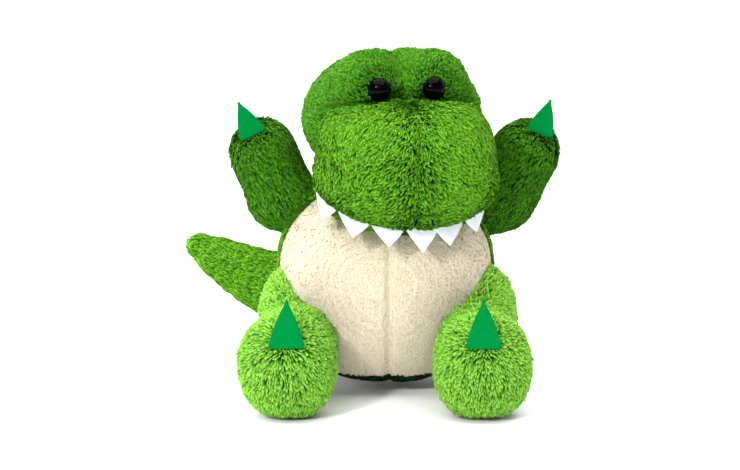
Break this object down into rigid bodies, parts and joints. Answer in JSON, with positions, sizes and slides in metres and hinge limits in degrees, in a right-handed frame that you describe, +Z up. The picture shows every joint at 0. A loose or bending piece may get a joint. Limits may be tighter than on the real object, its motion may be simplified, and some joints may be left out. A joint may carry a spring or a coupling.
{
  "type": "stuffed dinosaur",
  "caption": "Sitting plush dinosaur with a big soft muzzle, felt teeth and claws, raised arms, a round pale belly, stubby legs and a curved tail, to hug or stand on a shelf.",
  "frame": {"origin": "The middle of the flat seat, on the surface that the toy sits on", "axes": "+Z up, -Y the way the toy faces, +X its own left"},
  "size_m": [0.193, 0.1545, 0.1785],
  "materials": {
    "green_plush": "matte",
    "belly_plush": "matte",
    "seat_cloth": "matte",
    "claw_felt": "matte",
    "tooth_felt": "matte",
    "filling": "matte",
    "eye": "gloss",
    "washer": "matte"
  },
  "bodies": {
    "arm_left": {"arm_left_back_panel": "green_plush", "arm_left_claw": "claw_felt", "arm_left_filling": "filling", "arm_left_front_panel": "green_plush"},
    "arm_right": {"arm_right_back_panel": "green_plush", "arm_right_claw": "claw_felt", "arm_right_filling": "filling", "arm_right_front_panel": "green_plush"},
    "torso": {"back_panel_left": "green_plush", "back_panel_right": "green_plush", "belly_panel_left": "belly_plush", "belly_panel_right": "belly_plush", "seat_panel": "seat_cloth", "torso_filling": "filling"},
    "head": {"chin_panel": "green_plush", "crown_panel_left": "green_plush", "crown_panel_right": "green_plush", "eye_left": "eye", "eye_right": "eye", "eye_washer_left": "washer", "eye_washer_right": "washer", "head_filling": "filling", "muzzle_panel_left": "green_plush", "muzzle_panel_right": "green_plush", "tooth_strip_left": "tooth_felt", "tooth_strip_right": "tooth_felt"},
    "leg_left": {"leg_left_claw": "claw_felt", "leg_left_filling": "filling", "leg_left_sole_panel": "green_plush", "leg_left_top_panel": "green_plush"},
    "leg_right": {"leg_right_claw": "claw_felt", "leg_right_filling": "filling", "leg_right_sole_panel": "green_plush", "leg_right_top_panel": "green_plush"},
    "neck": {"neck_filling": "filling"},
    "tail": {"tail_filling": "filling", "tail_panel_back": "green_plush", "tail_panel_front": "green_plush"}
  },
  "joints": [
    {"name": "neck_turn", "type": "hinge", "parent": "torso", "child": "neck", "pos_m": [0.002, 0, 0.098], "axis": [0, 0, 1], "range_deg": [-20, 8], "stiffness_Nm_per_rad": 0.12},
    {"name": "head_nod", "type": "hinge", "parent": "neck", "child": "head", "pos_m": [0.002, 0, 0.098], "axis": [0.9848, 0.1736, 0], "range_deg": [-12, 6], "stiffness_Nm_per_rad": 0.6},
    {"name": "leg_right_lift", "type": "hinge", "parent": "torso", "child": "leg_right", "pos_m": [-0.042, -0.018, 0.035], "axis": [-1, 0, 0], "range_deg": [0, 25], "stiffness_Nm_per_rad": 0.15},
    {"name": "leg_left_lift", "type": "hinge", "parent": "torso", "child": "leg_left", "pos_m": [0.041, -0.018, 0.035], "axis": [-1, 0, 0], "range_deg": [0, 25], "stiffness_Nm_per_rad": 0.15},
    {"name": "arm_right_drop", "type": "hinge", "parent": "torso", "child": "arm_right", "pos_m": [-0.038, 0.012, 0.0865], "axis": [0, -1, 0], "range_deg": [0, 30], "stiffness_Nm_per_rad": 0.1},
    {"name": "arm_left_drop", "type": "hinge", "parent": "torso", "child": "arm_left", "pos_m": [0.039, 0.013, 0.086], "axis": [0, 1, 0], "range_deg": [0, 30], "stiffness_Nm_per_rad": 0.1},
    {"name": "tail_wag", "type": "hinge", "parent": "torso", "child": "tail", "pos_m": [-0.017, 0.033, 0.035], "axis": [0, 0, -1], "range_deg": [-8, 25], "stiffness_Nm_per_rad": 0.1}
  ]
}
